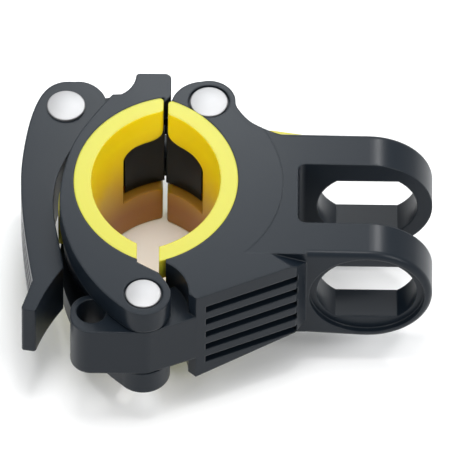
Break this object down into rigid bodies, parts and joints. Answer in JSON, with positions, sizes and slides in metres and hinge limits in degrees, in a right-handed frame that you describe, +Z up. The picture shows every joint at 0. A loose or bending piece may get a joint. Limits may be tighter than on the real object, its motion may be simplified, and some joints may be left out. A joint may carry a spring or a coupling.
{
  "type": "mudguard mount",
  "caption": "Quick-release seat-post clamp with lined jaws, a cam lever and a clevis with flatted eyes that takes a mudguard arm.",
  "frame": {"origin": "on the clamp axis, in the plane of the liners' lower edges, on which the part stands", "axes": "+Z up along the seat post, +X from the clamp towards the clevis ears, +Y towards the draw link at the back"},
  "size_m": [0.0802, 0.0629, 0.0335],
  "materials": {
    "black_plastic": "fine satin grain, dark slate black",
    "yellow_rubber": "smooth matt yellow rubber",
    "rivet_metal": "satin, pale silver"
  },
  "bodies": {
    "body": {"main_body": "black_plastic", "body_liner": "yellow_rubber", "link_rivet": "rivet_metal"},
    "link": {"draw_link": "black_plastic"},
    "lever": {"lever": "black_plastic", "lever_rivet": "rivet_metal"},
    "jaw": {"left_jaw": "black_plastic", "jaw_liner": "yellow_rubber", "hinge_rivet": "rivet_metal"}
  },
  "joints": [
    {"name": "link_swing", "type": "hinge", "parent": "body", "child": "link", "pos_m": [0.0099, 0.0202, 0.0209], "axis": [0, 0, -1], "range_deg": [0, 90]},
    {"name": "lever_pivot", "type": "hinge", "parent": "link", "child": "lever", "pos_m": [-0.018, 0.0231, 0.0209], "axis": [0, 0, -1], "range_deg": [0, 115]},
    {"name": "jaw_hinge", "type": "hinge", "parent": "body", "child": "jaw", "pos_m": [-0.0023, -0.028, 0.0209], "axis": [0, 0, 1], "range_deg": [0, 34.3]}
  ],
  "couplings": [
    {"joint": "jaw_hinge", "follows": "link_swing", "ratio": 0.38}
  ]
}
